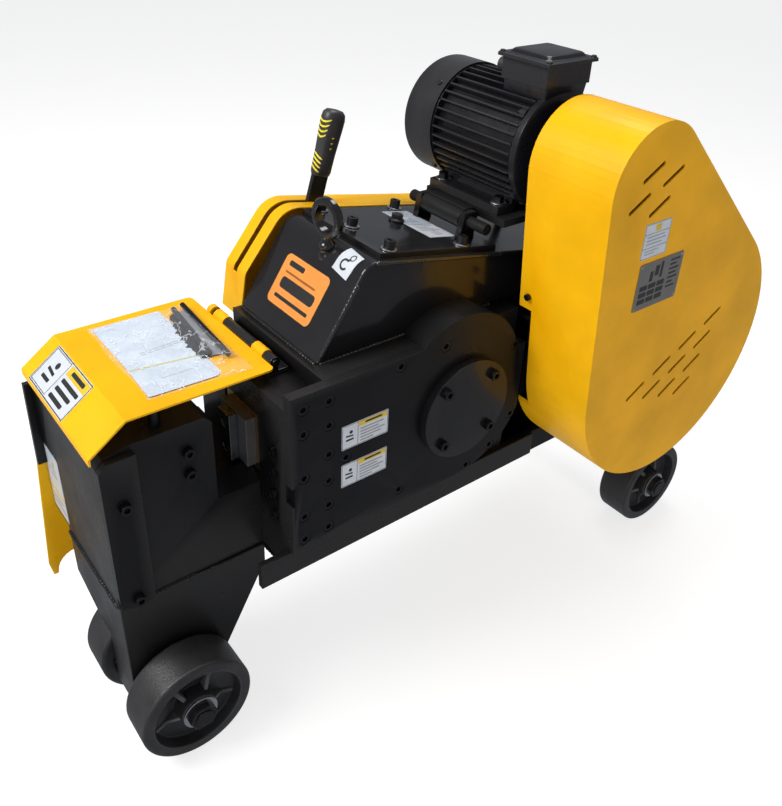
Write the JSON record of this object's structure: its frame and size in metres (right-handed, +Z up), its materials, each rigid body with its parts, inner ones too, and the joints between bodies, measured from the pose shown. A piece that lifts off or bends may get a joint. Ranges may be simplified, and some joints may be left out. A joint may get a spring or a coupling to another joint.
{
  "type": "rebar cutter",
  "caption": "Electric rebar cutter on wheels: belt-driven gear case with a sliding ram, cutting head with lid, hand clutch lever and belt guard.",
  "frame": {"origin": "middle of the whole machine on the floor it stands on", "axes": "+X along the machine from the cutting head to the rear wheels, +Y from the belt guard side to the clutch lever side, +Z up"},
  "size_m": [1.288, 0.559, 1.053],
  "materials": {
    "black_paint": "semi-gloss enamel",
    "gloss_black": "gloss enamel",
    "motor_paint": "gloss enamel",
    "yellow_paint": "gloss enamel",
    "screws": "blackened",
    "forged_steel": "satin",
    "bare_steel": "machined",
    "blade_steel": "ground",
    "cast_iron": "machined casting",
    "wheel_iron": "painted casting",
    "bronze": "machined",
    "copper": "lacquered wire",
    "belt_rubber": "matt",
    "grip_rubber": "moulded",
    "black_plastic": "matt",
    "clear_film": "clear film over paper"
  },
  "bodies": {
    "machine": {"base_frame": "black_paint", "rear_brackets": "black_paint", "front_leg": "black_paint", "cutter_head": "black_paint", "head_side_bar": "black_paint", "head_bolts": "screws", "far_guard": "yellow_paint", "gear_case": "black_paint", "upper_case": "gloss_black", "side_plate": "black_paint", "side_plate_bolts": "screws", "bearing_caps": "black_paint", "bearing_cap_bolts": "screws", "top_plate": "gloss_black", "top_plate_bolts": "screws", "filler_plug": "screws", "lifting_eye": "forged_steel", "motor_plate": "black_paint", "motor_hinge_rod": "forged_steel", "motor_bolts": "screws", "motor_frame": "motor_paint", "stator": "copper", "motor_end_shields": "motor_paint", "fan_cowl": "motor_paint", "terminal_box": "motor_paint", "terminal_box_lid": "motor_paint", "cable_gland": "black_plastic", "v_belts": "belt_rubber", "belt_guard": "yellow_paint", "guard_back_plate": "black_paint", "guard_screws": "screws", "ram_liners": "bronze", "fixed_blade": "blade_steel", "shaft_bearings": "bare_steel", "lever_cover": "yellow_paint", "lid_hinge": "forged_steel", "front_axle": "forged_steel", "rear_axle": "forged_steel", "return_spring": "bare_steel"},
    "rotor": {"rotor_shaft": "bare_steel", "motor_pulley": "cast_iron", "cooling_fan": "black_plastic"},
    "drive_train": {"drive_wheel": "cast_iron", "input_shaft": "bare_steel"},
    "countershaft": {"countershaft": "bare_steel"},
    "main_gear": {"main_gear": "cast_iron"},
    "crankshaft": {"crankshaft": "bare_steel", "clutch_sleeve": "forged_steel"},
    "slide_block": {"slide_block": "bronze"},
    "ram": {"ram": "forged_steel", "moving_blade": "blade_steel"},
    "clutch_lever": {"clutch_shaft": "bare_steel", "lever_arm": "black_paint", "lever_grip": "grip_rubber"},
    "lid": {"lid": "yellow_paint", "document_pouch": "clear_film"},
    "front_wheel_near": {"front_wheel_near": "wheel_iron"},
    "front_wheel_far": {"front_wheel_far": "wheel_iron"},
    "rear_wheel_near": {"rear_wheel_near": "wheel_iron"},
    "rear_wheel_far": {"rear_wheel_far": "wheel_iron"}
  },
  "joints": [
    {"name": "drive_spin", "type": "hinge", "parent": "machine", "child": "drive_train", "pos_m": [0.362, -0.1485, 0.549], "axis": [0, 1, 0], "continuous": true},
    {"name": "rotor_spin", "type": "hinge", "parent": "machine", "child": "rotor", "pos_m": [0.184, 0.0315, 0.9], "axis": [0, 1, 0], "continuous": true},
    {"name": "countershaft_spin", "type": "hinge", "parent": "machine", "child": "countershaft", "pos_m": [0.20385, 0.0315, 0.49382], "axis": [0, 1, 0], "continuous": true},
    {"name": "main_gear_spin", "type": "hinge", "parent": "machine", "child": "main_gear", "pos_m": [-0.02, 0.1065, 0.502], "axis": [0, 1, 0], "continuous": true},
    {"name": "crank_turn", "type": "hinge", "parent": "machine", "child": "crankshaft", "pos_m": [-0.02, 0.0215, 0.502], "axis": [0, 1, 0], "range_deg": [0, 180]},
    {"name": "slide_block_turn", "type": "hinge", "parent": "crankshaft", "child": "slide_block", "pos_m": [0.002, 0.0215, 0.502], "axis": [0, 1, 0], "range_deg": [-180, 0]},
    {"name": "ram_slide", "type": "slide", "parent": "machine", "child": "ram", "axis": [-1, 0, 0], "range_m": [0, 0.044]},
    {"name": "lever_swing", "type": "hinge", "parent": "machine", "child": "clutch_lever", "pos_m": [-0.16, 0.1915, 0.612], "axis": [0, -1, 0], "range_deg": [0, 46], "stiffness_Nm_per_rad": 5, "springref_deg": -20.05},
    {"name": "lid_hinge", "type": "hinge", "parent": "machine", "child": "lid", "pos_m": [-0.322, 0.1015, 0.641], "axis": [0, 1, 0], "range_deg": [0, 85]},
    {"name": "front_near_roll", "type": "hinge", "parent": "machine", "child": "front_wheel_near", "pos_m": [-0.538, -0.0775, 0.096], "axis": [0, 1, 0], "continuous": true},
    {"name": "front_far_roll", "type": "hinge", "parent": "machine", "child": "front_wheel_far", "pos_m": [-0.538, 0.0905, 0.096], "axis": [0, 1, 0], "continuous": true},
    {"name": "rear_near_roll", "type": "hinge", "parent": "machine", "child": "rear_wheel_near", "pos_m": [0.548, -0.1535, 0.096], "axis": [0, 1, 0], "continuous": true},
    {"name": "rear_far_roll", "type": "hinge", "parent": "machine", "child": "rear_wheel_far", "pos_m": [0.548, 0.2235, 0.096], "axis": [0, 1, 0], "continuous": true}
  ],
  "couplings": [
    {"joint": "rotor_spin", "follows": "drive_spin", "ratio": 3.62},
    {"joint": "countershaft_spin", "follows": "drive_spin", "ratio": -0.28846},
    {"joint": "main_gear_spin", "follows": "drive_spin", "ratio": 0.080769},
    {"joint": "slide_block_turn", "follows": "crank_turn", "ratio": -1},
    {"joint": "ram_slide", "follows": "crank_turn", "m_per_rad": 0.014}
  ]
}
